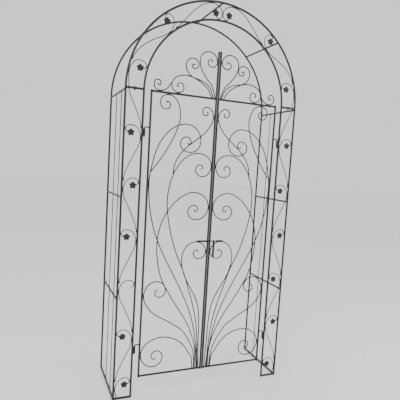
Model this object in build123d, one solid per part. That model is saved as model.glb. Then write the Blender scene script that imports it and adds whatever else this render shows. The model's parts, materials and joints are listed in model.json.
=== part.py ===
from build123d import *
import os
from math import atan2, cos, degrees, hypot, pi, radians, sin, sqrt

# Metal trellis arch with a double gate. Millimetres, +Z up, the front of the arch faces -Y.
# The origin is on the ground, at the middle of the footprint.

# ---------------------------------------------------------------- driving dimensions
SPAN = 1150.0               # outer post to outer post, centre to centre
COLUMN_WIDTH = 107.0        # outer post to inner post of a front column, centre to centre
DEPTH = 447.0               # front frame to rear frame, centre to centre
SPRING_HEIGHT = 1884.0      # top of the posts, where the arches plug in
TUBE = 12.7                 # outside diameter of posts, arches and gate frames
WALL = 1.2                  # tube wall
TIE_ROD = 12.0             # rods that join the front frame to the rear frame
PANEL_WIRE = 5.5            # wire of the column, arch and side panels
SCROLL_WIRE = 7.0           # wire of the gate scrolls
WIRE_FOOT = 3.2             # a gate scroll starts this far above the centre of its rail

PLATE = 6.0                 # thickness of the two flats that meet at the spring line
PLATE_WIDTH = 12.0          # width of the same flats
PLUG_DEPTH = 35.0           # how far a reduced arch end goes down into its post
PLUG_COLLAR = 8.0           # solid length inside the arch end that carries the reduced end
SLIP_FIT = 0.05             # radial clearance of plugs, pins and the latch bolt

LOWER_TIE_HEIGHT = 632.0
MIDDLE_TIE_HEIGHT = 1251.0
TOP_TIE_DROP = 8.0          # top side tie below the spring line
SHOULDER_ANGLE = 45.0       # shoulder ties, degrees above the spring line

ROSETTE_SIZE = 42.0
ROSETTE_THICKNESS = 7.0
ROSETTE_OFFSET = 12.0       # a rosette sits this far to one side of its column's centre line
FIRST_ROSETTE = 90.0        # height of the lowest rosette
ROSETTES_PER_COLUMN = 6
MISSING_LEFT_ROSETTE = 2    # this place in the left column holds no rosette
ARCH_ROSETTES = 3           # on each half of the arch
ARCH_FIRST_ROSETTE = 122.0  # along the arch from the spring line
HOOK_ROOM = 22.0            # from a rosette's edge to the wire over it
LEAN_DROP = 25.0            # a wire leans on a tube this far below its rosette
LAST_CROSSING = 62.0        # the top wire of a column is cut off this far short of a full hook
APEX_GAP = 0.2              # from the last wire of the arch to its centre plane

GATE_BOTTOM = 132.0         # centre of the bottom rail
GATE_TOP_DROP = 3.0         # centre of the top rail below the spring line
FAN_RISE = 276.0            # meeting stiles above the top rail, to where their domes start
HINGE_GAP = 45.5            # inner post centre to hinge stile centre
MEETING_GAP = 2.0           # between the two meeting stiles

PIN = 8.0
BARREL = 12.7
BARREL_LENGTH = 42.0
PIN_TAIL = 6.0              # pin below its barrel
PIN_BEND = 9.0              # centre line radius of the pin's elbow
BARREL_GAP = 2.0            # between elbow and barrel
LOWER_HINGE_RISE = 206.0    # pin arm above the bottom rail
UPPER_HINGE_DROP = 212.0    # pin arm below the top rail

BOLT = 8.0
BOLT_LENGTH = 106.0
SLEEVE = 12.7
SLEEVE_GAP = 2.5            # sleeve ends from the centre line of the gate
KEEPER_LENGTH = 77.0
KEEPER_CLEARANCE = 1.0
INNER_SLEEVE_LENGTH = 10.0
OUTER_SLEEVE_START = 61.0
OUTER_SLEEVE_LENGTH = 43.0
HANDLE_X = 42.0
HANDLE_WIDTH = 14.0
HANDLE_THICKNESS = 4.0
HANDLE_LENGTH = 110.0

CAP = 1.5                   # visible thickness of a tube plug
CAP_DEPTH = 8.0
BOLT_M = 6.0                # clamp bolts at the spring line
BOLT_HOLE = 6.6
HEX = 10.0
HEX_HEAD = 4.0
HEX_NUT = 5.0
BOLT_TAIL = 4.0

# ---------------------------------------------------------------- worked out from them
R_TUBE = TUBE / 2
R_BORE = R_TUBE - WALL
Y_FRONT = -DEPTH / 2
Y_REAR = DEPTH / 2
X_OUTER = SPAN / 2
X_INNER = X_OUTER - COLUMN_WIDTH
X_HINGE = X_INNER - R_TUBE - BARREL / 2
X_STILE = X_INNER - HINGE_GAP
X_MEETING = R_TUBE + MEETING_GAP / 2
GATE_TOP = SPRING_HEIGHT - GATE_TOP_DROP
MEETING_TOP = GATE_TOP + FAN_RISE
HINGE_HEIGHTS = (GATE_BOTTOM + LOWER_HINGE_RISE, GATE_TOP - UPPER_HINGE_DROP)
FOOT = CAP                  # the posts stand on their plugs


# ---------------------------------------------------------------- helpers
def rod(start, end, diameter):
    """A straight round bar from start to end."""
    axis = Vector(*end) - Vector(*start)
    return Solid.make_cylinder(diameter / 2, axis.length, Plane(origin=start, z_dir=axis))


def tube(start, end, diameter=TUBE, bore=2 * R_BORE):
    """A straight tube from start to end."""
    axis = Vector(*end) - Vector(*start)
    outer = rod(start, end, diameter)
    reach = axis.normalized() * 1.0
    inner = rod(tuple(Vector(*start) - reach), tuple(Vector(*end) + reach), bore)
    return outer - inner


def box(low, high):
    """A block between two corners."""
    size = Vector(*high) - Vector(*low)
    centre = (Vector(*high) + Vector(*low)) * 0.5
    return Pos(*centre) * Box(size.X, size.Y, size.Z)


def mirrored(shape):
    """The same piece on the other side of the arch."""
    return mirror(shape, about=Plane.YZ)


def group(shapes):
    """Separate solids that share one node."""
    return Compound([solid for shape in shapes for solid in shape.solids()])


def write(name, shape):
    export_step(shape, os.path.join("parts", name + ".step"))


# ---------------------------------------------------------------- bent wire
def tangent_step(start, direction, end, y):
    """One arc, or a straight line, that leaves start in the given direction and reaches end."""
    across = direction[0] * (end[1] - start[1]) - direction[1] * (end[0] - start[0])
    first = (start[0], y, start[1])
    last = (end[0], y, end[1])
    if abs(across) < 1e-4 * hypot(end[0] - start[0], end[1] - start[1]):
        return Edge.make_line(first, last)
    return Edge.make_tangent_arc(first, Vector(direction[0], 0, direction[1]), last)


def bend(a, b, y):
    """Two tangent arcs from station a to station b. A station is (x, z, heading in degrees)."""
    ta = (cos(radians(a[2])), sin(radians(a[2])))
    tb = (cos(radians(b[2])), sin(radians(b[2])))
    v = (b[0] - a[0], b[1] - a[1])
    v_squared = v[0] ** 2 + v[1] ** 2
    v_dot_t = v[0] * (ta[0] + tb[0]) + v[1] * (ta[1] + tb[1])
    turn = 2 * (1 - ta[0] * tb[0] - ta[1] * tb[1])
    if turn < 1e-9:
        reach = v_squared / (2 * v_dot_t)
    else:
        reach = (sqrt(v_dot_t ** 2 + turn * v_squared) - v_dot_t) / turn
    corner_a = (a[0] + reach * ta[0], a[1] + reach * ta[1])
    corner_b = (b[0] - reach * tb[0], b[1] - reach * tb[1])
    middle = ((corner_a[0] + corner_b[0]) / 2, (corner_a[1] + corner_b[1]) / 2)
    onward = (corner_b[0] - middle[0], corner_b[1] - middle[1])
    return [tangent_step(a, ta, middle, y), tangent_step(middle, onward, b, y)]


def bent_wire(stations, diameter, y):
    """A wire bent through its stations, flat in the plane at y."""
    edges = [edge for a, b in zip(stations, stations[1:]) for edge in bend(a, b, y)]
    x, z, heading = stations[0]
    start = Plane(origin=(x, y, z), z_dir=(cos(radians(heading)), 0, sin(radians(heading))))
    section = Face(Wire([Edge.make_circle(diameter / 2, start)]))
    return Solid.sweep(section, Wire(edges))


# ---------------------------------------------------------------- posts, rails and plates
def post(x, y):
    return tube((x, y, FOOT), (x, y, SPRING_HEIGHT))


def tube_plug(x, y, end, direction):
    """A plug in the end of an upright tube. direction is +1 above the tube, -1 below it."""
    face = rod((x, y, end), (x, y, end + direction * CAP), TUBE)
    stem = rod((x, y, end - direction * CAP_DEPTH), (x, y, end), 2 * (R_BORE - SLIP_FIT))
    return (face + stem).solid()


def column_base_rail():
    """Cross tube at the foot of the left column, shaped to both posts."""
    z = R_TUBE
    rail = tube((-X_OUTER, Y_FRONT, z), (-X_INNER, Y_FRONT, z))
    for x in (-X_OUTER, -X_INNER):
        rail -= rod((x, Y_FRONT, -1), (x, Y_FRONT, TUBE + 1), TUBE)
    return rail.solid()


def plate_blank(low):
    half = PLATE_WIDTH / 2
    return box((-X_OUTER, Y_FRONT - half, low), (-X_INNER, Y_FRONT + half, low + PLATE))


def spring_plate(low):
    """Flat between the two posts or arch tubes on the left, with a hole for the clamp bolt."""
    plate = plate_blank(low)
    for x in (-X_OUTER, -X_INNER):
        if low < SPRING_HEIGHT:
            plate -= rod((x, Y_FRONT, low - 1), (x, Y_FRONT, low + PLATE + 1), TUBE)
        else:
            plate -= arch_bar(-x, Y_FRONT, TUBE)
    x = -(X_OUTER + X_INNER) / 2
    return (plate - rod((x, Y_FRONT, low - 1), (x, Y_FRONT, low + PLATE + 1), BOLT_HOLE)).solid()


def clamp_bolt():
    x = -(X_OUTER + X_INNER) / 2
    top = SPRING_HEIGHT + PLATE
    head = Pos(x, Y_FRONT, top) * extrude(RegularPolygon(HEX / 2, 6, major_radius=False), HEX_HEAD)
    low = SPRING_HEIGHT - PLATE - HEX_NUT - BOLT_TAIL
    return (head + rod((x, Y_FRONT, low), (x, Y_FRONT, top), BOLT_M)).solid()


def clamp_nut():
    x = -(X_OUTER + X_INNER) / 2
    low = SPRING_HEIGHT - PLATE - HEX_NUT
    nut = Pos(x, Y_FRONT, low) * extrude(RegularPolygon(HEX / 2, 6, major_radius=False), HEX_NUT)
    return (nut - rod((x, Y_FRONT, low - 1), (x, Y_FRONT, low + HEX_NUT + 1), BOLT_M)).solid()


# ---------------------------------------------------------------- arches
def arch_bar(radius, y, diameter):
    """Half a ring over the spring line."""
    plane = Plane(origin=(0, y, SPRING_HEIGHT), x_dir=(1, 0, 0), z_dir=(0, -1, 0))
    return Solid.make_torus(radius, diameter / 2, plane, 0, 360, 180)


def arch_tube(radius, y):
    """A half round tube with reduced ends that plug into the posts."""
    arch = arch_bar(radius, y, TUBE) - arch_bar(radius, y, 2 * R_BORE)
    for x in (-radius, radius):
        collar = rod((x, y, SPRING_HEIGHT), (x, y, SPRING_HEIGHT + PLUG_COLLAR), 2 * R_BORE + WALL)
        stem = rod((x, y, SPRING_HEIGHT - PLUG_DEPTH), (x, y, SPRING_HEIGHT), 2 * (R_BORE - SLIP_FIT))
        arch = arch + collar + stem
    return arch.solid()


def arch_tie(angle):
    """Rod from the front arch to the rear arch, shaped to both."""
    x = X_OUTER * cos(radians(angle))
    z = SPRING_HEIGHT + X_OUTER * sin(radians(angle))
    tie = rod((x, Y_FRONT, z), (x, Y_REAR, z), TIE_ROD)
    tie -= arch_bar(X_OUTER, Y_FRONT, TUBE)
    tie -= arch_bar(X_OUTER, Y_REAR, TUBE)
    return tie.solid()


# ---------------------------------------------------------------- side panels
def side_tie(z):
    """Rod from the front post to the rear post, shaped to what it meets."""
    tie = rod((-X_OUTER, Y_FRONT, z), (-X_OUTER, Y_REAR, z), TIE_ROD)
    for y in (Y_FRONT, Y_REAR):
        tie -= rod((-X_OUTER, y, z - TUBE), (-X_OUTER, y, z + TUBE), TUBE)
    tie -= rod((-X_OUTER, Y_FRONT, R_TUBE), (-X_INNER, Y_FRONT, R_TUBE), TUBE)
    tie -= plate_blank(SPRING_HEIGHT - PLATE)
    return tie.solid()


def side_wire(share):
    """Upright wire on the inner side of the side ties, at a share of the depth."""
    x = -X_OUTER + (TIE_ROD + PANEL_WIRE) / 2
    y = Y_FRONT + share * DEPTH
    return rod((x, y, 0), (x, y, SPRING_HEIGHT - TOP_TIE_DROP + TIE_ROD / 2), PANEL_WIRE)


# ---------------------------------------------------------------- column and arch scrolls
PANEL_REACH = COLUMN_WIDTH / 2 - R_TUBE - PANEL_WIRE / 2    # where a wire touches a tube
R_MIDDLE = (X_OUTER + X_INNER) / 2
HOOK_RISE = ROSETTE_SIZE / 2 + HOOK_ROOM                    # top of a hook above its rosette
COLUMN_PITCH = (SPRING_HEIGHT - PLATE + LAST_CROSSING - FIRST_ROSETTE) / ROSETTES_PER_COLUMN
ARCH_LAST_ROSETTE = R_MIDDLE * pi / 2 - HOOK_RISE - PANEL_WIRE / 2 - APEX_GAP
ARCH_PITCH = (ARCH_LAST_ROSETTE - ARCH_FIRST_ROSETTE) / (ARCH_ROSETTES - 1)


def on_column(side, height):
    """Placement of a hook on the left column. side is +1 where it leans on the outer post."""
    def place(across, along, heading):
        x = -R_MIDDLE - side * across
        return (x, height + along, 180 - heading if side > 0 else heading)
    return place


def on_arch(side, distance):
    """Placement of a hook on the left half of the arch, distance along it from the spring line."""
    def place(across, along, heading):
        angle = (distance + along) / R_MIDDLE
        radius = R_MIDDLE + side * across
        local = 180 - heading if side > 0 else heading
        return (-radius * cos(angle), SPRING_HEIGHT + radius * sin(angle), local - degrees(angle))
    return place


def crossing(place, pitch):
    """Stations of a wire that leaves one tube and crosses the panel."""
    return [place(-PANEL_REACH, LEAN_DROP - pitch, 90), place(-3, -pitch / 2, 65)]


def hook(place, lead):
    """Wire that leans on one tube, after its lead stations, and curls over its rosette."""
    stations = lead + [place(PANEL_REACH, -LEAN_DROP, 90)]
    stations += [place(-ROSETTE_OFFSET, HOOK_RISE, 180), place(-PANEL_REACH, 18, 270)]
    stations += [place(-ROSETTE_OFFSET - ROSETTE_SIZE / 3, 0, 350)]
    return bent_wire(stations, PANEL_WIRE, Y_FRONT)


def near_tube(place, along):
    """Station close beside the tube that a wire is about to lean on."""
    return place(0.77 * PANEL_REACH, along, 83)


def disc_at(x, z, radius, thickness):
    """A disc that faces the front, centred on the front frame."""
    return rod((x, Y_FRONT - thickness / 2, z), (x, Y_FRONT + thickness / 2, z), 2 * radius)


def rosette(place):
    """Five round petals about a raised boss."""
    x, z, _ = place(-ROSETTE_OFFSET, 0, 0)
    petal = 0.2 * ROSETTE_SIZE
    disc = disc_at(x, z, 0.28 * ROSETTE_SIZE, ROSETTE_THICKNESS)
    for k in range(5):
        angle = radians(90 + 72 * k)
        reach = ROSETTE_SIZE / 2 - petal
        disc += disc_at(x + reach * cos(angle), z + reach * sin(angle), petal, ROSETTE_THICKNESS)
    disc += disc_at(x, z, 0.14 * ROSETTE_SIZE, ROSETTE_THICKNESS + 4)
    return disc.solid()


def turn_side(k):
    """Hooks lean on the outer tube and the inner tube in turn."""
    return 1 if k % 2 == 0 else -1


def column_places():
    heights = [FIRST_ROSETTE + k * COLUMN_PITCH for k in range(ROSETTES_PER_COLUMN)]
    return [on_column(turn_side(k), height) for k, height in enumerate(heights)]


def arch_places():
    reaches = [ARCH_FIRST_ROSETTE + k * ARCH_PITCH for k in range(ARCH_ROSETTES)]
    return [on_arch(turn_side(k), reach) for k, reach in enumerate(reaches)]


def column_scrolls(flowers, empty=None):
    """The wires of the left column, each cut to its rosette. empty is a place with no rosette."""
    places = column_places()
    wires = [hook(places[0], [near_tube(places[0], R_TUBE - FIRST_ROSETTE)])]
    wires[0] -= rod((-X_OUTER, Y_FRONT, R_TUBE), (-X_INNER, Y_FRONT, R_TUBE), TUBE)
    wires += [hook(place, crossing(place, COLUMN_PITCH)) for place in places[1:]]
    cut = [wire if k == empty else wire - flowers[k] for k, wire in enumerate(wires)]
    next_height = FIRST_ROSETTE + ROSETTES_PER_COLUMN * COLUMN_PITCH
    above = on_column(turn_side(ROSETTES_PER_COLUMN), next_height)
    stations = crossing(above, COLUMN_PITCH) + [near_tube(above, -LAST_CROSSING)]
    return cut + [bent_wire(stations, PANEL_WIRE, Y_FRONT) - plate_blank(SPRING_HEIGHT - PLATE)]


def arch_scrolls(flowers):
    """The wires of the left half of the arch, each cut to its rosette."""
    places = arch_places()
    wires = [hook(places[0], [near_tube(places[0], PLATE - ARCH_FIRST_ROSETTE)])]
    wires += [hook(place, crossing(place, ARCH_PITCH)) for place in places[1:]]
    wires[0] -= plate_blank(SPRING_HEIGHT)
    return [wire - flower for wire, flower in zip(wires, flowers)]


# ---------------------------------------------------------------- gate scrolls
# The scrolls are drawn on a panel of this size, then fitted to the leaf. x runs from the line
# where a wire leans on the meeting stile to where it leans on the hinge stile, z from the
# centre of the bottom rail to the centre of the top rail.
PANEL_X = 397.0
PANEL_Z = 1749.0
PANEL_FAN = 276.0
PANEL_LEAN = 9.0
LATCH_ON_PANEL = 848.0      # the latch crosses the tops of the heart scrolls
R_WIRE = SCROLL_WIRE / 2
LEAN = sqrt((R_TUBE + R_WIRE) ** 2 - R_WIRE ** 2)
FRONT = Y_FRONT - R_WIRE    # wires lie in two layers that touch where they cross
BACK = Y_FRONT + R_WIRE

# Each scroll: its layer, then its stations (x, z, heading). Heading 0 is towards the hinge
# stile and 90 is up.
LONG_SCROLLS = (
    (FRONT, ((22, 0, 90), (38, 192, 81), (64, 311, 74), (183, 584, 61), (326, 856, 67), (397, 1210, 90),
             (377, 1348, 102), (307, 1505, 129), (174, 1577, 180), (79, 1480, 270), (147, 1408, 0),
             (212, 1458, 90), (174, 1500, 180), (144, 1473, 270), (157, 1457, 0), (167, 1466, 80))),
    (BACK, ((30, 0, 90), (34, 120, 84), (88, 287, 64), (135, 368, 57), (235, 520, 60), (281, 601, 66),
            (314, 707, 79), (327, 828, 90), (269, 1040, 123), (188, 1128, 145), (102, 1162, 180),
            (0, 1070, 270), (81, 989, 0), (137, 1039, 90), (99, 1080, 180), (72, 1059, 270),
            (83, 1041, 0), (95, 1055, 100))),
    (FRONT, ((14, 0, 90), (20, 90, 88), (38, 297, 81), (66, 420, 74), (107, 544, 70), (154, 674, 65),
             (211, 802, 70), (257, 955, 78), (277, 1108, 90), (261, 1226, 104), (215, 1327, 125),
             (161, 1384, 147), (86, 1406, 180), (0, 1330, 270), (58, 1263, 0), (103, 1305, 90),
             (77, 1336, 180), (57, 1320, 270), (67, 1311, 10))),
)
UPPER_SCROLLS = (
    (BACK, ((387, 1278, 128), (329, 1359, 123), (237, 1538, 108), (219, 1621, 90), (299, 1740, 0),
            (348, 1697, 270), (314, 1654, 180), (285, 1680, 90), (301, 1700, 0), (315, 1692, 300))),
    (BACK, ((246, 1265, 93), (237, 1335, 109), (210, 1389, 126), (145, 1457, 141), (64, 1524, 138),
            (21, 1576, 121), (0, 1636, 90), (50, 1693, 0), (76, 1668, 270), (56, 1642, 180),
            (39, 1654, 90), (48, 1664, 0))),
)
LOWER_SCROLLS = (
    (BACK, ((6, 0, 90), (14, 225, 89), (26, 397, 81), (59, 492, 62), (95, 554, 58), (135, 628, 66),
            (160, 740, 90), (70, 846, 180), (0, 783, 270), (46, 736, 0), (83, 771, 90), (61, 793, 180),
            (52, 783, 270))),
    (FRONT, ((38, 0, 90), (49, 120, 78), (73, 177, 65), (130, 265, 49), (211, 325, 34), (302, 378, 31),
             (354, 420, 49), (397, 513, 90), (321, 601, 180), (259, 540, 270), (299, 500, 0),
             (327, 528, 90), (312, 546, 180))),
    (BACK, ((47, 0, 90), (54, 68, 80), (83, 120, 59), (126, 177, 44), (183, 216, 25), (269, 236, 0),
            (397, 130, 270), (314, 47, 180), (256, 106, 90), (296, 149, 0), (328, 120, 270),
            (312, 96, 180), (301, 106, 90))),
)
FAN_SCROLLS = (
    (FRONT, ((2, 1749, 86), (28, 1824, 64), (64, 1862, 53), (96, 1905, 59), (114, 1965, 90),
             (57, 2025, 180), (0, 1971, 270), (34, 1936, 0), (62, 1958, 90), (42, 1979, 180),
             (32, 1967, 270))),
    (BACK, ((9, 1749, 70), (53, 1827, 38), (107, 1851, 15), (161, 1865, 31), (200, 1927, 90),
            (156, 1973, 180), (119, 1943, 270), (140, 1913, 0), (160, 1928, 90), (151, 1939, 180),
            (144, 1931, 270))),
    (FRONT, ((20, 1749, 52), (64, 1812, 36), (118, 1845, 26), (196, 1865, 0), (286, 1798, 270),
             (242, 1758, 180), (209, 1786, 90), (231, 1816, 0), (251, 1800, 270), (241, 1791, 180))),
    (BACK, ((287, 1811, 303), (318, 1770, 325), (356, 1758, 0), (391, 1788, 90), (372, 1820, 180),
            (351, 1804, 270), (360, 1789, 0), (368, 1798, 90))),
)


def panel_height(z):
    """Height on the leaf of a height on the panel."""
    if z < PANEL_Z:
        clear = GATE_TOP - GATE_BOTTOM - 2 * LEAN
        return GATE_BOTTOM + LEAN + (z - PANEL_LEAN) * clear / (PANEL_Z - 2 * PANEL_LEAN)
    return GATE_TOP + LEAN + (z - PANEL_Z - PANEL_LEAN) * FAN_RISE / PANEL_FAN


def on_leaf(x, z, heading):
    """Station on the left leaf for a station on the panel."""
    stretch_x = (X_STILE - X_MEETING - 2 * LEAN) / PANEL_X
    stretch_z = (panel_height(z + 0.5) - panel_height(z - 0.5)) if z != PANEL_Z else 1
    slope = atan2(stretch_z * sin(radians(heading)), -stretch_x * cos(radians(heading)))
    return (-X_MEETING - LEAN - x * stretch_x, panel_height(z), degrees(slope))


def leaf_scrolls(scrolls, rail_height):
    """Scroll wires of the left leaf, shaped to the rail that they stand on."""
    rail = rod((-X_STILE, Y_FRONT, rail_height), (0, Y_FRONT, rail_height), TUBE)
    top = rail_height + WIRE_FOOT
    rail += box((-X_STILE, Y_FRONT - TUBE, rail_height - TUBE), (0, Y_FRONT + TUBE, top))
    return [bent_wire([on_leaf(*s) for s in stations], SCROLL_WIRE, y) - rail for y, stations in scrolls]


# ---------------------------------------------------------------- gate frame
def hinge_stile():
    return tube((-X_STILE, Y_FRONT, GATE_BOTTOM - R_TUBE), (-X_STILE, Y_FRONT, GATE_TOP + R_TUBE))


def meeting_stile():
    return tube((-X_MEETING, Y_FRONT, GATE_BOTTOM - R_TUBE), (-X_MEETING, Y_FRONT, MEETING_TOP))


def gate_rail(z):
    """Cross tube of the left leaf, shaped to both stiles."""
    rail = tube((-X_STILE, Y_FRONT, z), (-X_MEETING, Y_FRONT, z))
    for x in (-X_STILE, -X_MEETING):
        rail -= rod((x, Y_FRONT, z - TUBE), (x, Y_FRONT, z + TUBE), TUBE)
    return rail.solid()


def stile_dome():
    """Cap of a meeting stile. The two caps together make one round top."""
    x = -X_MEETING
    round_top = Pos(0, Y_FRONT, MEETING_TOP + CAP) * Sphere(hypot(X_MEETING + R_TUBE, CAP))
    cap = rod((x, Y_FRONT, MEETING_TOP), (x, Y_FRONT, MEETING_TOP + 2 * TUBE), TUBE) & round_top
    stem = rod((x, Y_FRONT, MEETING_TOP - CAP_DEPTH), (x, Y_FRONT, MEETING_TOP), 2 * (R_BORE - SLIP_FIT))
    return (cap + stem).solid()


def gate_plugs():
    low = GATE_BOTTOM - R_TUBE
    plugs = [tube_plug(x, Y_FRONT, low, -1) for x in (-X_STILE, -X_MEETING)]
    return plugs + [tube_plug(-X_STILE, Y_FRONT, GATE_TOP + R_TUBE, 1)]


# ---------------------------------------------------------------- hinges
def barrel_top(z):
    return z - PIN_BEND - BARREL_GAP


def hinge_pin(z):
    """Rod that stands out of the stile and turns down into its barrel."""
    low = barrel_top(z) - BARREL_LENGTH - PIN_TAIL
    stations = [(-X_STILE, z, 180), (-X_HINGE + PIN_BEND, z, 180)]
    stations += [(-X_HINGE, z - PIN_BEND, 270), (-X_HINGE, low, 270)]
    stile = rod((-X_STILE, Y_FRONT, z - TUBE), (-X_STILE, Y_FRONT, z + TUBE), TUBE)
    return (bent_wire(stations, PIN, Y_FRONT) - stile).solid()


def hinge_barrel(z):
    top = barrel_top(z)
    bore = PIN + 2 * SLIP_FIT
    return tube((-X_HINGE, Y_FRONT, top - BARREL_LENGTH), (-X_HINGE, Y_FRONT, top), BARREL, bore)


# ---------------------------------------------------------------- latch
LATCH_Z = panel_height(LATCH_ON_PANEL)
LATCH_Y = Y_FRONT + max(SCROLL_WIRE, R_TUBE) + SLEEVE / 2


def sleeve(start, length, bore):
    return tube((start, LATCH_Y, LATCH_Z), (start + length, LATCH_Y, LATCH_Z), SLEEVE, bore)


def latch_keeper():
    return sleeve(-SLEEVE_GAP - KEEPER_LENGTH, KEEPER_LENGTH, BOLT + 2 * KEEPER_CLEARANCE)


def latch_guides():
    bore = BOLT + 2 * SLIP_FIT
    inner = sleeve(SLEEVE_GAP, INNER_SLEEVE_LENGTH, bore)
    return [inner, sleeve(OUTER_SLEEVE_START, OUTER_SLEEVE_LENGTH, bore)]


def latch_bolt():
    return rod((SLEEVE_GAP, LATCH_Y, LATCH_Z), (SLEEVE_GAP + BOLT_LENGTH, LATCH_Y, LATCH_Z), BOLT)


def latch_handle():
    """Flat that hangs from the bolt, with a round lower end."""
    half = HANDLE_WIDTH / 2
    low = LATCH_Z - HANDLE_LENGTH + half
    y_low = LATCH_Y - HANDLE_THICKNESS / 2
    y_high = LATCH_Y + HANDLE_THICKNESS / 2
    handle = box((HANDLE_X - half, y_low, low), (HANDLE_X + half, y_high, LATCH_Z))
    handle += rod((HANDLE_X, y_low, low), (HANDLE_X, y_high, low), HANDLE_WIDTH)
    return (handle - latch_bolt()).solid()


# ---------------------------------------------------------------- write every piece
def write_pair(name, shape):
    """A left piece and its mirror image on the right. SIDE in the name becomes left or right."""
    write(name.replace("SIDE", "left"), shape)
    write(name.replace("SIDE", "right"), mirrored(shape))


def write_frame():
    write_pair("front_SIDE_outer_post", post(-X_OUTER, Y_FRONT))
    write_pair("front_SIDE_inner_post", post(-X_INNER, Y_FRONT))
    write_pair("rear_SIDE_post", post(-X_OUTER, Y_REAR))
    left_feet = [(-X_OUTER, Y_FRONT), (-X_INNER, Y_FRONT), (-X_OUTER, Y_REAR)]
    feet = [tube_plug(x, y, FOOT, -1) for x, y in left_feet]
    write("post_foot_plugs", group(feet + [mirrored(foot) for foot in feet]))
    write_pair("SIDE_column_base_rail", column_base_rail())
    write_pair("SIDE_column_top_plate", spring_plate(SPRING_HEIGHT - PLATE))
    write_pair("SIDE_arch_foot_plate", spring_plate(SPRING_HEIGHT))
    write("clamp_bolts", group([clamp_bolt(), mirrored(clamp_bolt())]))
    write("clamp_nuts", group([clamp_nut(), mirrored(clamp_nut())]))
    write_pair("SIDE_hinge_barrels", group([hinge_barrel(z) for z in HINGE_HEIGHTS]))


def write_arches():
    write("front_outer_arch", arch_tube(X_OUTER, Y_FRONT))
    write("front_inner_arch", arch_tube(X_INNER, Y_FRONT))
    write("rear_arch", arch_tube(X_OUTER, Y_REAR))
    write("apex_tie", arch_tie(90))
    shoulder = arch_tie(180 - SHOULDER_ANGLE)
    write("shoulder_ties", group([shoulder, mirrored(shoulder)]))


def write_side_panels():
    heights = (TIE_ROD / 2, LOWER_TIE_HEIGHT, MIDDLE_TIE_HEIGHT, SPRING_HEIGHT - TOP_TIE_DROP)
    write_pair("SIDE_side_ties", group([side_tie(z) for z in heights]))
    write_pair("SIDE_side_wires", group([side_wire(1 / 3), side_wire(2 / 3)]))


def write_scroll_panels():
    flowers = [rosette(place) for place in column_places()]
    shown = [flower for k, flower in enumerate(flowers) if k != MISSING_LEFT_ROSETTE]
    write("left_column_rosettes", group(shown))
    write("right_column_rosettes", group([mirrored(flower) for flower in flowers]))
    write("left_column_scrolls", group(column_scrolls(flowers, MISSING_LEFT_ROSETTE)))
    write("right_column_scrolls", mirrored(group(column_scrolls(flowers))))
    arch_flowers = [rosette(place) for place in arch_places()]
    write("arch_rosettes", group(arch_flowers + [mirrored(flower) for flower in arch_flowers]))
    write_pair("SIDE_arch_scrolls", group(arch_scrolls(arch_flowers)))


def write_gate():
    write_pair("SIDE_gate_hinge_stile", hinge_stile())
    write_pair("SIDE_gate_meeting_stile", meeting_stile())
    write_pair("SIDE_gate_bottom_rail", gate_rail(GATE_BOTTOM))
    write_pair("SIDE_gate_top_rail", gate_rail(GATE_TOP))
    write_pair("SIDE_gate_stile_dome", stile_dome())
    write_pair("SIDE_gate_plugs", group(gate_plugs()))
    write_pair("SIDE_gate_hinge_pins", group([hinge_pin(z) for z in HINGE_HEIGHTS]))
    write_pair("SIDE_gate_long_scrolls", group(leaf_scrolls(LONG_SCROLLS, GATE_BOTTOM)))
    write_pair("SIDE_gate_upper_scrolls", group(leaf_scrolls(UPPER_SCROLLS, GATE_BOTTOM)))
    write_pair("SIDE_gate_lower_scrolls", group(leaf_scrolls(LOWER_SCROLLS, GATE_BOTTOM)))
    write_pair("SIDE_gate_fan_scrolls", group(leaf_scrolls(FAN_SCROLLS, GATE_TOP)))


def write_latch():
    write("latch_keeper", latch_keeper())
    write("latch_guides", group(latch_guides()))
    write("latch_bolt", latch_bolt())
    write("latch_handle", latch_handle())


os.makedirs("parts", exist_ok=True)
write_frame()
write_arches()
write_side_panels()
write_scroll_panels()
write_gate()
write_latch()
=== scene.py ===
"""Metal trellis arch with a double gate: finishes, rosettes, welds, fasteners, hinges, latch and stage.

Metres, +Z up, the front of the arch faces -Y. Every piece is built around the fixed frame.
"""

import json
from math import cos, hypot, pi, radians, sin

import bmesh
import bpy
import numpy as np
from bpy.props import FloatProperty, FloatVectorProperty, IntProperty, PointerProperty
from mathutils import Matrix, Vector
from mathutils.bvhtree import BVHTree

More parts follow.
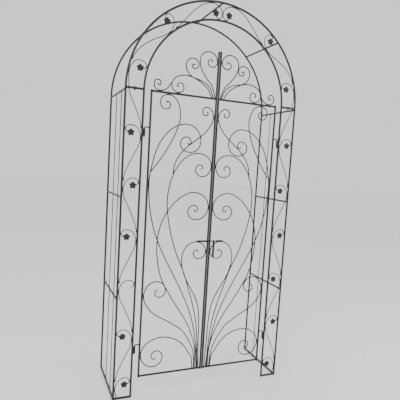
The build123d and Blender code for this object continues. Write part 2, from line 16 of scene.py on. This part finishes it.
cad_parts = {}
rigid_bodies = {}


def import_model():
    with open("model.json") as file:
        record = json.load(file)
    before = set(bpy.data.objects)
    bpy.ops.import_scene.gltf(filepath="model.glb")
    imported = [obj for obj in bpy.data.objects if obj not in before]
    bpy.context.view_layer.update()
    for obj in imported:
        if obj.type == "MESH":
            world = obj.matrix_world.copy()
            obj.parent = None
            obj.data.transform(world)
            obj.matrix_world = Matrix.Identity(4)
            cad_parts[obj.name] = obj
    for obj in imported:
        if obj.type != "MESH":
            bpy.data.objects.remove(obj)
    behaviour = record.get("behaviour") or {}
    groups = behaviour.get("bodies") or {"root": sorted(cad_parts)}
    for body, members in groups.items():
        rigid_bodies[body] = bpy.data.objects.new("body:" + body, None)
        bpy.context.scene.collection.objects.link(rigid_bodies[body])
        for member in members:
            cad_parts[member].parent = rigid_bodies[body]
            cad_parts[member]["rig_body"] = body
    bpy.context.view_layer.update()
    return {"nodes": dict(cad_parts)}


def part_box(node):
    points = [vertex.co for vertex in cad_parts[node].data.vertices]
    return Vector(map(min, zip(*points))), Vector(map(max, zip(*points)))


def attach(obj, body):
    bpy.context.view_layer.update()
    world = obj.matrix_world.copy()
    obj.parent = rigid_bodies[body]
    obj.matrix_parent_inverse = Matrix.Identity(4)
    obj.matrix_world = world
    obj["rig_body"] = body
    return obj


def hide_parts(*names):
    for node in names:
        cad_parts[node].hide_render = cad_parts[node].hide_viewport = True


bl_info = {
    "name": "Trellis arch",
    "version": (1, 0, 0),
    "blender": (4, 5, 0),
    "location": "3D View > Sidebar > Trellis arch",
    "description": "Powder-coated steel trellis arch with a double gate and flower rosettes",
    "category": "Object",
}

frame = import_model()
NODES = frame["nodes"]
MM = 0.001
TIGHT = 0.01 * MM       # points closer than this are the same point


# ---------------------------------------------------------------- colours and nodes
def to_linear(code):
    """Linear colour of an sRGB hex value such as 2b2a2b."""
    channels = [int(code[k:k + 2], 16) / 255 for k in (0, 2, 4)]
    return tuple(c / 12.92 if c <= 0.04045 else ((c + 0.055) / 1.055) ** 2.4 for c in channels)


def add_node(tree, kind, settings=None, values=None, links=None):
    """A node of that kind, with its settings, its socket values and what is linked into it."""
    node = tree.nodes.new(kind)
    for name, value in (settings or {}).items():
        setattr(node, name, value)
    for socket, value in (values or {}).items():
        node.inputs[socket].default_value = value
    for socket, source in (links or {}).items():
        tree.links.new(source, node.inputs[socket])
    return node


def colour_property(name, description, code):
    return FloatVectorProperty(name=name, description=description, default=to_linear(code),
                               size=3, min=0, max=1, subtype="COLOR")


def length_property(name, description, millimetres):
    return FloatProperty(name=name, description=description, default=millimetres * MM,
                         min=0, unit="LENGTH", precision=5)


# ---------------------------------------------------------------- settings
class TrellisFinish(bpy.types.PropertyGroup):
    """Colours and textures of the finishes."""
    coat: colour_property("Coat", "Charcoal powder coat of the tubes and wires", "0c0b0d")
    dusty_coat: colour_property("Dusty coat", "The same coat where a little dust lies on it", "171617")
    # The reddish-brown tone of the meeting stiles is a painted reflection, not a thinner worn coat.
    painted_reflection_coat: colour_property("Warm coat", "Thinner coat of the meeting stiles, warmer in tone", "1c0f0e")
    zinc: colour_property("Blackened zinc", "Clamp bolts and nuts", "2a2a2d")
    gloss_roughness: FloatProperty(name="Coat roughness", description="Satin powder coat",
                                   default=0.42, min=0, max=1, subtype="FACTOR")
    peel: length_property("Orange peel", "Width of one wave of the sprayed coat", 3.0)
    patch: length_property("Dust patch", "Width of a patch of dust", 70.0)


class TrellisPieces(bpy.types.PropertyGroup):
    """Sizes of the modelled pieces."""
    petal_radius: length_property("Petal radius", "Half the width of a rosette petal", 9.0)
    petal_thickness: length_property("Petal thickness", "Thickness of a petal at its rim", 6.6)
    petal_reach: length_property("Petal reach", "From the boss to the middle of a petal", 12.4)
    boss_radius: length_property("Boss radius", "Round middle of a rosette", 5.6)
    boss_height: length_property("Boss height", "How far the boss stands out each way", 5.4)
    weld_bead: length_property("Weld bead", "Radius of one ripple of a weld", 1.25)
    weld_step: length_property("Weld step", "Distance from ripple to ripple", 1.5)
    weld_reach: length_property("Weld reach", "Widest gap that a weld fills", 0.5)
    thread_pitch: length_property("Thread pitch", "Pitch of the clamp bolts", 1.0)
    edge: length_property("Broken edge", "Edge break of turned and cut pieces", 0.6)
    turned_sides: IntProperty(name="Sides", description="Sides of a turned piece", default=40, min=12)


class TrellisStage(bpy.types.PropertyGroup):
    """Floor, light and camera."""
    floor: colour_property("Floor", "Pale studio floor", "fafafa")
    floor_size: FloatProperty(name="Floor size", description="Side of the square floor",
                              default=60.0, unit="LENGTH")
    key_power: FloatProperty(name="Key light", description="Large soft box, front left",
                             default=120.0, unit="POWER")
    fill_power: FloatProperty(name="Fill light", description="Large soft box, front right",
                              default=60.0, unit="POWER")
    sky: FloatProperty(name="Room light", description="Even white light of the room",
                       default=1.1, min=0)
    eye: FloatVectorProperty(name="Camera place", description="Where the camera stands",
                             default=(-1.095, -2.732, 1.463), subtype="TRANSLATION", unit="LENGTH")
    turn: FloatVectorProperty(name="Camera turn", description="How the camera is turned",
                              default=(radians(84.26), radians(-3.57), radians(-23.52)),
                              subtype="EULER", unit="ROTATION")
    lens: FloatProperty(name="Lens", description="Focal length in millimetres", default=38.65)
    shift: FloatVectorProperty(name="Lens shift", description="Across and up", size=2,
                               default=(-0.032, 0.024))


# ---------------------------------------------------------------- finishes
def powder_coat(name, colour, dusty, finish, roughness):
    """Polyester powder coat baked on steel: satin, with a faint orange peel and dust on upper faces."""
    material = bpy.data.materials.get(name)
    if material:
        return material
    material = bpy.data.materials.new(name)
    material.use_nodes = True
    tree = material.node_tree
    tree.nodes.clear()
    place = add_node(tree, "ShaderNodeTexCoord").outputs["Object"]
    surface = add_node(tree, "ShaderNodeNewGeometry").outputs["Normal"]
    up = add_node(tree, "ShaderNodeSeparateXYZ", links={"Vector": surface}).outputs["Z"]
    patches = add_node(tree, "ShaderNodeTexNoise", {"noise_dimensions": "3D"},
                       {"Scale": 1 / finish.patch, "Detail": 3.0}, {"Vector": place})
    settle = add_node(tree, "ShaderNodeMapRange", {"clamp": True},
                      {"From Min": 0.2, "From Max": 1.0, "To Min": 0.15, "To Max": 0.9}, {"Value": up})
    dust = add_node(tree, "ShaderNodeMath", {"operation": "MULTIPLY"},
                    links={0: patches.outputs["Fac"], 1: settle.outputs["Result"]})
    tone = add_node(tree, "ShaderNodeMix", {"data_type": "RGBA"},
                    {"A": (*colour, 1), "B": (*dusty, 1)}, {"Factor": dust.outputs["Value"]})
    gloss = add_node(tree, "ShaderNodeMapRange",
                     values={"To Min": roughness - 0.05, "To Max": roughness + 0.08},
                     links={"Value": patches.outputs["Fac"]})
    peel = add_node(tree, "ShaderNodeTexNoise", {"noise_dimensions": "3D"},
                    {"Scale": 1 / finish.peel, "Detail": 1.0}, {"Vector": place})
    bump = add_node(tree, "ShaderNodeBump", values={"Strength": 0.06, "Distance": 0.05 * MM},
                    links={"Height": peel.outputs["Fac"]})
    shader = add_node(tree, "ShaderNodeBsdfPrincipled", values={"Metallic": 0.0, "IOR": 1.5},
                      links={"Base Color": tone.outputs["Result"], "Roughness": gloss.outputs["Result"],
                             "Normal": bump.outputs["Normal"]})
    add_node(tree, "ShaderNodeOutputMaterial", links={"Surface": shader.outputs["BSDF"]})
    return material


def charcoal_coat():
    """Nearly black satin: only soft, broad highlights along the tubes."""
    finish = bpy.context.scene.trellis_finish
    return powder_coat("charcoal_powder_coat", finish.coat, finish.dusty_coat, finish,
                       finish.gloss_roughness)


def painted_reflection_coat():
    """The coat of the meeting stiles, with a reddish-brown painted reflection in its colour."""
    finish = bpy.context.scene.trellis_finish
    return powder_coat("painted_reflection_powder_coat", finish.painted_reflection_coat, finish.dusty_coat, finish,
                       finish.gloss_roughness - 0.04)


def blackened_zinc():
    """Zinc-plated steel with a black passivation: a dull dark metal with small bright grains."""
    finish = bpy.context.scene.trellis_finish
    material = bpy.data.materials.get("blackened_zinc_plate")
    if material:
        return material
    material = bpy.data.materials.new("blackened_zinc_plate")
    material.use_nodes = True
    tree = material.node_tree
    tree.nodes.clear()
    place = add_node(tree, "ShaderNodeTexCoord").outputs["Object"]
    grains = add_node(tree, "ShaderNodeTexNoise", values={"Scale": 1 / (1.5 * MM), "Detail": 2.0},
                      links={"Vector": place})
    gloss = add_node(tree, "ShaderNodeMapRange", values={"To Min": 0.3, "To Max": 0.5},
                     links={"Value": grains.outputs["Fac"]})
    shader = add_node(tree, "ShaderNodeBsdfPrincipled",
                      values={"Base Color": (*finish.zinc, 1), "Metallic": 0.8},
                      links={"Roughness": gloss.outputs["Result"]})
    add_node(tree, "ShaderNodeOutputMaterial", links={"Surface": shader.outputs["BSDF"]})
    return material


# ---------------------------------------------------------------- reading the frame
def merged_copy(node):
    """The node's own mesh, copied, with its loose triangles joined."""
    copy = bmesh.new()
    copy.from_mesh(NODES[node].data)
    bmesh.ops.remove_doubles(copy, verts=copy.verts, dist=0.1 * TIGHT)
    return copy


def joined_to(starts):
    """The starting points and every point that edges join to them, in the same order each run."""
    found, search = dict.fromkeys(starts), list(starts)
    while search:
        for edge in search.pop().link_edges:
            fresh = [vertex for vertex in edge.verts if vertex not in found]
            found.update(dict.fromkeys(fresh))
            search += fresh
    return list(found)


def solids_of(node):
    """The points of each separate solid of a node."""
    copy = merged_copy(node)
    taken, solids = set(), []
    for start in copy.verts:
        if start not in taken:
            solid = joined_to([start])
            taken.update(solid)
            solids.append([vertex.co.copy() for vertex in solid])
    copy.free()
    return sorted(solids, key=lambda points: (sum(p.x for p in points), sum(p.z for p in points)))


def box_of(points):
    low = Vector([min(p[k] for p in points) for k in range(3)])
    high = Vector([max(p[k] for p in points) for k in range(3)])
    return low, high


# ---------------------------------------------------------------- making a piece
def new_piece(name, bm, body, material, replaced=(), smooth_below=40):
    """The finished mesh as an object that rides on its body."""
    bmesh.ops.recalc_face_normals(bm, faces=bm.faces)
    mesh = bpy.data.meshes.new(name)
    bm.to_mesh(mesh)
    bm.free()
    mesh.materials.append(material)
    piece = bpy.data.objects.new(name, mesh)
    bpy.context.scene.collection.objects.link(piece)
    mesh.shade_smooth()
    mesh.set_sharp_from_angle(angle=radians(smooth_below))
    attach(piece, body)
    if replaced:
        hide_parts(*replaced)
    return piece


def turned(bm, profile, place, closed):
    """A piece turned from its profile of (radius, along) points, placed by a matrix with its axis on Z."""
    sides = bpy.context.scene.trellis_pieces.turned_sides
    points = [bm.verts.new((radius, 0, along)) for radius, along in profile]
    pairs = list(zip(points, points[1:])) + ([(points[-1], points[0])] if closed else [])
    edges = [bm.edges.new(pair) for pair in pairs]
    bmesh.ops.spin(bm, geom=points + edges, cent=(0, 0, 0), axis=(0, 0, 1), dvec=(0, 0, 0),
                   angle=2 * pi, steps=sides, use_merge=True)
    whole = joined_to(points)
    bmesh.ops.transform(bm, matrix=place, verts=whole)
    bmesh.ops.remove_doubles(bm, verts=whole, dist=TIGHT)


def ring_profile(outer, inner, low, high, edge):
    """Section of a short tube with broken edges."""
    return [(inner, low + edge / 2), (inner + edge / 2, low), (outer - edge, low), (outer, low + edge),
            (outer, high - edge), (outer - edge, high), (inner + edge / 2, high), (inner, high - edge / 2)]


def bar_profile(radius, low, high, edge):
    """Section of a solid bar with broken edges."""
    return [(0, low), (radius - edge, low), (radius, low + edge),
            (radius, high - edge), (radius - edge, high), (0, high)]


def upright(x, y):
    return Matrix.Translation((x, y, 0))


def crosswise(y, z):
    """Axis along X."""
    return Matrix.Translation((0, y, z)) @ Matrix.Rotation(pi / 2, 4, "Y")


# ---------------------------------------------------------------- operators
class TRELLIS_OT_coat(bpy.types.Operator):
    """Give every tube, wire and plate of the frame its powder coat"""
    bl_idname = "trellis.coat"
    bl_label = "Powder coat"

    def execute(self, context):
        for name, node in NODES.items():
            node.data.materials.clear()
            # The meeting stiles get the coat with a painted reflection: a reddish-brown tint in its
            # colour.
            node.data.materials.append(painted_reflection_coat() if "meeting_stile" in name else charcoal_coat())
        return {"FINISHED"}


class TRELLIS_OT_rosettes(bpy.types.Operator):
    """Cast five-petalled rosettes of the columns and the arch"""
    bl_idname = "trellis.rosettes"
    bl_label = "Rosettes"

    def petal(self, bm, sizes, centre, angle):
        """A round petal, dished on both faces."""
        made = bmesh.ops.create_uvsphere(bm, u_segments=20, v_segments=10, radius=1.0)
        for vertex in made["verts"]:
            out = min(hypot(vertex.co.x, vertex.co.y), 1.0)
            vertex.co.z *= 0.35 + 0.65 * out ** 2
            vertex.co.z *= 1.0 / max(0.5, (1.0 - out ** 2) ** 0.25)
        half = sizes.petal_thickness / 2
        shape = Matrix.Diagonal((sizes.petal_radius * 1.06, sizes.petal_radius, half, 1))
        lay = Matrix.Rotation(pi / 2, 4, "X")
        out = Matrix.Rotation(angle, 4, "Z") @ Matrix.Translation((sizes.petal_reach, 0, 0))
        bmesh.ops.transform(bm, matrix=Matrix.Translation(centre) @ lay @ out @ shape,
                            verts=made["verts"])

    def flower(self, bm, sizes, centre):
        for k in range(5):
            self.petal(bm, sizes, centre, radians(90 + 72 * k))
        boss = bmesh.ops.create_uvsphere(bm, u_segments=24, v_segments=12, radius=1.0)
        shape = Matrix.Diagonal((sizes.boss_radius, sizes.boss_height, sizes.boss_radius, 1))
        bmesh.ops.transform(bm, matrix=Matrix.Translation(centre) @ shape, verts=boss["verts"])

    def execute(self, context):
        sizes = context.scene.trellis_pieces
        for node in ("left_column_rosettes", "right_column_rosettes", "arch_rosettes"):
            bm = bmesh.new()
            for points in solids_of(node):
                front = min(p.y for p in points)
                boss = [p for p in points if p.y < front + TIGHT]
                low, high = box_of(boss)
                middle = box_of(points)
                depth = (middle[0].y + middle[1].y) / 2
                centre = Vector(((low.x + high.x) / 2, depth, (low.z + high.z) / 2))
                self.flower(bm, sizes, centre)
            new_piece(node.replace("_rosettes", "_cast_rosettes"), bm, "frame",
                      charcoal_coat(), [node], smooth_below=60)
        return {"FINISHED"}


WELDED = (
    ("frame", "side_ties", "post"), ("frame", "base_rail", "post"), ("frame", "top_plate", "post"),
    ("frame", "foot_plate", "front_outer_arch"), ("frame", "foot_plate", "front_inner_arch"),
    ("frame", "side_wires", "side_ties"), ("frame", "column_scrolls", "post"),
    ("frame", "column_scrolls", "base_rail"), ("frame", "column_scrolls", "top_plate"),
    ("frame", "column_scrolls", "column_scrolls"), ("frame", "arch_scrolls", "front_outer_arch"),
    ("frame", "arch_scrolls", "front_inner_arch"), ("frame", "arch_scrolls", "foot_plate"),
    ("frame", "apex_tie", "arch"), ("frame", "shoulder_ties", "arch"),
    ("frame", "hinge_barrels", "inner_post"),
    ("gate", "bottom_rail", "stile"), ("gate", "top_rail", "stile"), ("gate", "hinge_pins", "hinge_stile"),
    ("gate", "scrolls", "rail"), ("gate", "scrolls", "stile"), ("gate", "scrolls", "scrolls"),
    ("gate", "latch", "scrolls"), ("gate", "latch", "stile"),
)


class TRELLIS_OT_welds(bpy.types.Operator):
    """Rippled weld beads wherever a wire, rod or plate meets what it is welded to"""
    bl_idname = "trellis.welds"
    bl_label = "Welds"

    def samples(self, node, step):
        """Points along every edge of a node, close enough together for a bead each."""
        mesh = NODES[node].data
        corners = np.empty(len(mesh.vertices) * 3)
        mesh.vertices.foreach_get("co", corners)
        corners = corners.reshape(-1, 3)
        ends = np.empty(len(mesh.edges) * 2, int)
        mesh.edges.foreach_get("vertices", ends)
        starts, stops = corners[ends[0::2]], corners[ends[1::2]]
        pieces = np.maximum(1, np.linalg.norm(stops - starts, axis=1) // step).astype(int)
        rows = np.repeat(np.arange(len(pieces)), pieces)
        share = (np.arange(len(rows)) - np.repeat(np.cumsum(pieces) - pieces, pieces)) / pieces[rows]
        points = starts[rows] + (stops - starts)[rows] * share[:, None]
        return points[np.unique(np.round(points / (0.5 * step)), axis=0, return_index=True)[1]]

    def touching(self, points, node, reach, trees):
        """The points that lie within reach of a node's surface."""
        low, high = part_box(node)
        inside = points[((points > np.array(low) - reach) & (points < np.array(high) + reach)).all(axis=1)]
        if not len(inside):
            return []
        if node not in trees:
            mesh = NODES[node].data
            faces = [tuple(face.vertices) for face in mesh.polygons]
            trees[node] = BVHTree.FromPolygons([v.co for v in mesh.vertices], faces)
        return [Vector(p) for p in inside if trees[node].find_nearest(p, reach)[0] is not None]

    def execute(self, context):
        sizes = context.scene.trellis_pieces
        step, reach = sizes.weld_step, sizes.weld_reach
        bodies = {"frame": "frame", "left_gate": "gate", "right_gate": "gate"}
        trees = {}          # one search tree for each node that is welded to
        ball = bmesh.new()
        bmesh.ops.create_icosphere(ball, subdivisions=1, radius=1.0)
        ripple = bpy.data.meshes.new("weld_ripple")
        ball.to_mesh(ripple)
        ball.free()
        for body, kind in bodies.items():
            members = sorted(n for n in NODES if NODES[n]["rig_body"] == body)
            spots = {}
            for small in members:
                partners = [big for rule in WELDED if rule[0] == kind and rule[1] in small
                            for big in members if rule[2] in big and big != small]
                if not partners:
                    continue
                points = self.samples(small, step)
                for big in sorted(set(partners)):
                    for p in self.touching(points, big, reach, trees):
                        spots.setdefault(tuple(round(c / step) for c in p), p)
            bm = bmesh.new()
            for cell, p in sorted(spots.items()):
                unevenness = (cell[0] * 7 + cell[1] * 13 + cell[2] * 5) % 10 / 10      # 0 to 0.9, by place
                size = sizes.weld_bead * (0.9 + 0.2 * unevenness)
                bead = ripple.copy()
                bead.transform(Matrix.Translation(p) @ Matrix.Scale(size, 4))
                bm.from_mesh(bead)
                bpy.data.meshes.remove(bead)
            new_piece(body + "_welds", bm, body, charcoal_coat(),
                      smooth_below=180)
        return {"FINISHED"}


class TRELLIS_OT_fasteners(bpy.types.Operator):
    """Hexagon clamp bolts and nuts at the spring line"""
    bl_idname = "trellis.fasteners"
    bl_label = "Clamp bolts and nuts"

    def hexagon(self, bm, across, x, y, low, high, edge):
        made = bmesh.ops.create_cone(bm, cap_ends=True, segments=6, radius1=across / 2 / cos(pi / 6),
                                     radius2=across / 2 / cos(pi / 6), depth=high - low,
                                     matrix=Matrix.Translation((x, y, (low + high) / 2)))
        edges = list(dict.fromkeys(e for v in made["verts"] for e in v.link_edges))
        bmesh.ops.bevel(bm, geom=edges, offset=edge, segments=2, profile=0.5, affect="EDGES", material=-1)

    def execute(self, context):
        sizes = context.scene.trellis_pieces
        bolts, nuts = bmesh.new(), bmesh.new()
        for points in solids_of("clamp_bolts"):
            low, high = box_of(points)
            x, y = (low.x + high.x) / 2, (low.y + high.y) / 2
            top_plate_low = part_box("left_column_top_plate")[0].z
            head_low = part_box("left_arch_foot_plate")[1].z
            across = min(high.x - low.x, high.y - low.y)
            self.hexagon(bolts, across, x, y, head_low, high.z, sizes.edge)
            radius = min(abs(p.x - x) for p in points if p.z < low.z + MM and abs(p.y - y) < 0.2 * MM)
            crest, pitch = radius, sizes.thread_pitch
            root = crest - 0.6 * pitch
            count = int((top_plate_low - low.z) / pitch)
            thread = [(0, low.z), (root, low.z)]
            for k in range(count):
                thread += [(crest, low.z + (k + 0.5) * pitch), (root, low.z + (k + 1) * pitch)]
            thread += [(crest, top_plate_low), (crest, head_low + 0.2 * MM), (0, head_low + 0.2 * MM)]
            turned(bolts, thread, upright(x, y), closed=False)
        for points in solids_of("clamp_nuts"):
            low, high = box_of(points)
            self.hexagon(nuts, min(high.x - low.x, high.y - low.y), (low.x + high.x) / 2,
                         (low.y + high.y) / 2, low.z, high.z, sizes.edge)
        new_piece("hex_clamp_bolts", bolts, "frame", blackened_zinc(), ["clamp_bolts"], 25)
        new_piece("hex_clamp_nuts", nuts, "frame", blackened_zinc(), ["clamp_nuts"], 25)
        return {"FINISHED"}


class TRELLIS_OT_hinges(bpy.types.Operator):
    """Turned hinge barrels on the inner posts"""
    bl_idname = "trellis.hinges"
    bl_label = "Hinge barrels"

    def execute(self, context):
        sizes = context.scene.trellis_pieces
        for side in ("left", "right"):
            bm = bmesh.new()
            node = side + "_hinge_barrels"
            for points in solids_of(node):
                low, high = box_of(points)
                x, y = (low.x + high.x) / 2, (low.y + high.y) / 2
                inner = min(hypot(p.x - x, p.y - y) for p in points)
                profile = ring_profile((high.x - low.x) / 2, inner, low.z, high.z, sizes.edge)
                turned(bm, profile, upright(x, y), closed=True)
            new_piece(side + "_turned_barrels", bm, "frame", charcoal_coat(), [node], 25)
        return {"FINISHED"}


class TRELLIS_OT_latch(bpy.types.Operator):
    """Sleeves, sliding bolt and hanging handle of the latch"""
    bl_idname = "trellis.latch"
    bl_label = "Latch"

    def execute(self, context):
        sizes = context.scene.trellis_pieces
        bodies = {"latch_keeper": "left_gate", "latch_guides": "right_gate"}
        for node, body in bodies.items():
            bm = bmesh.new()
            for points in solids_of(node):
                low, high = box_of(points)
                y, z = (low.y + high.y) / 2, (low.z + high.z) / 2
                inner = min(hypot(p.y - y, p.z - z) for p in points)
                profile = ring_profile((high.y - low.y) / 2, inner, low.x, high.x, sizes.edge)
                turned(bm, profile, crosswise(y, z), closed=True)
            new_piece(node + "_sleeves", bm, body, charcoal_coat(), [node], 25)
        low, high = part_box("latch_bolt")
        y, z = (low.y + high.y) / 2, (low.z + high.z) / 2
        bm = bmesh.new()
        profile = bar_profile((high.y - low.y) / 2, low.x, high.x, 1.5 * sizes.edge)
        turned(bm, profile, crosswise(y, z), closed=False)
        new_piece("sliding_bolt", bm, "latch", charcoal_coat(), ["latch_bolt"], 25)
        low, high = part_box("latch_handle")
        half = (high.x - low.x) / 2
        bm = bmesh.new()
        end_centre = ((low.x + high.x) / 2, low.y, low.z + half)
        facing = Matrix.Translation(end_centre) @ Matrix.Rotation(pi / 2, 4, "X")
        made = bmesh.ops.create_circle(bm, cap_ends=True, segments=32, radius=half, matrix=facing)
        upper = [v for v in made["verts"] if v.co.z > low.z + half - TIGHT]
        bmesh.ops.translate(bm, verts=upper, vec=(0, 0, z - low.z - half))
        flat = bmesh.ops.extrude_face_region(bm, geom=list(bm.faces))
        thick = [item for item in flat["geom"] if isinstance(item, bmesh.types.BMVert)]
        bmesh.ops.translate(bm, verts=thick, vec=(0, high.y - low.y, 0))
        rims = [e for e in bm.edges if abs(e.verts[0].co.y - e.verts[1].co.y) < TIGHT]
        bmesh.ops.bevel(bm, geom=rims, offset=sizes.edge, segments=2, profile=0.5, affect="EDGES",
                        material=-1)
        new_piece("hanging_handle", bm, "latch", charcoal_coat(), ["latch_handle"], 35)
        return {"FINISHED"}


class TRELLIS_OT_stage(bpy.types.Operator):
    """Pale floor, soft studio light and the camera"""
    bl_idname = "trellis.stage"
    bl_label = "Stage"

    def soft_box(self, name, place, target, side, power):
        light = bpy.data.lights.new(name, "AREA")
        light.shape, light.size, light.energy = "SQUARE", side, power
        lamp = bpy.data.objects.new(name, light)
        lamp.location = place
        lamp.rotation_euler = (Vector(target) - Vector(place)).to_track_quat("-Z", "Y").to_euler()
        bpy.context.scene.collection.objects.link(lamp)
        return lamp

    def execute(self, context):
        stage = context.scene.trellis_stage
        bm = bmesh.new()
        bmesh.ops.create_grid(bm, x_segments=1, y_segments=1, size=stage.floor_size / 2)
        mesh = bpy.data.meshes.new("studio_floor")
        bm.to_mesh(mesh)
        bm.free()
        floor = bpy.data.objects.new("studio_floor", mesh)
        context.scene.collection.objects.link(floor)
        paint = bpy.data.materials.new("matt_white_paint")
        paint.use_nodes = True
        shader = paint.node_tree.nodes["Principled BSDF"]
        shader.inputs["Base Color"].default_value = (*stage.floor, 1)
        shader.inputs["Roughness"].default_value = 0.9
        mesh.materials.append(paint)
        middle = (0, 0, 1.1)
        key = self.soft_box("key_soft_box", (-3.0, -3.6, 4.2), middle, 2.5, stage.key_power)
        fill = self.soft_box("fill_soft_box", (3.6, -3.0, 2.6), middle, 2.5, stage.fill_power)
        world = bpy.data.worlds.new("white_room")
        world.use_nodes = True
        world.node_tree.nodes["Background"].inputs["Color"].default_value = (1, 1, 1, 1)
        world.node_tree.nodes["Background"].inputs["Strength"].default_value = stage.sky
        context.scene.world = world
        camera = bpy.data.objects.new("camera", bpy.data.cameras.new("camera"))
        camera.location = stage.eye
        camera.rotation_euler = stage.turn
        camera.data.lens = stage.lens
        camera.data.sensor_width = 36.0
        camera.data.shift_x, camera.data.shift_y = stage.shift
        camera.data.clip_end = 200.0
        context.scene.collection.objects.link(camera)
        context.scene.camera = camera
        return {"FINISHED"}


# ---------------------------------------------------------------- panel and registration
SETTINGS = (("trellis_finish", TrellisFinish), ("trellis_pieces", TrellisPieces),
            ("trellis_stage", TrellisStage))
OPERATORS = (TRELLIS_OT_coat, TRELLIS_OT_rosettes, TRELLIS_OT_welds, TRELLIS_OT_fasteners,
             TRELLIS_OT_hinges, TRELLIS_OT_latch, TRELLIS_OT_stage)


class TRELLIS_PT_panel(bpy.types.Panel):
    """Sidebar panel with the settings and one button for each group of pieces"""
    bl_label = "Trellis arch"
    bl_idname = "TRELLIS_PT_panel"
    bl_space_type = "VIEW_3D"
    bl_region_type = "UI"
    bl_category = "Trellis arch"

    def draw(self, context):
        for name, group in SETTINGS:
            column = self.layout.column()
            for setting in group.__annotations__:
                column.prop(getattr(context.scene, name), setting)
        for operator in OPERATORS:
            self.layout.operator(operator.bl_idname)


def register():
    for name, group in SETTINGS:
        bpy.utils.register_class(group)
        setattr(bpy.types.Scene, name, PointerProperty(type=group))
    for item in OPERATORS + (TRELLIS_PT_panel,):
        bpy.utils.register_class(item)


def unregister():
    for item in (TRELLIS_PT_panel,) + OPERATORS[::-1]:
        bpy.utils.unregister_class(item)
    for name, group in SETTINGS[::-1]:
        delattr(bpy.types.Scene, name)
        bpy.utils.unregister_class(group)


def main():
    register()
    for operator in OPERATORS:
        section, call = operator.bl_idname.split(".")
        getattr(getattr(bpy.ops, section), call)()


if __name__ == "__main__":
    main()
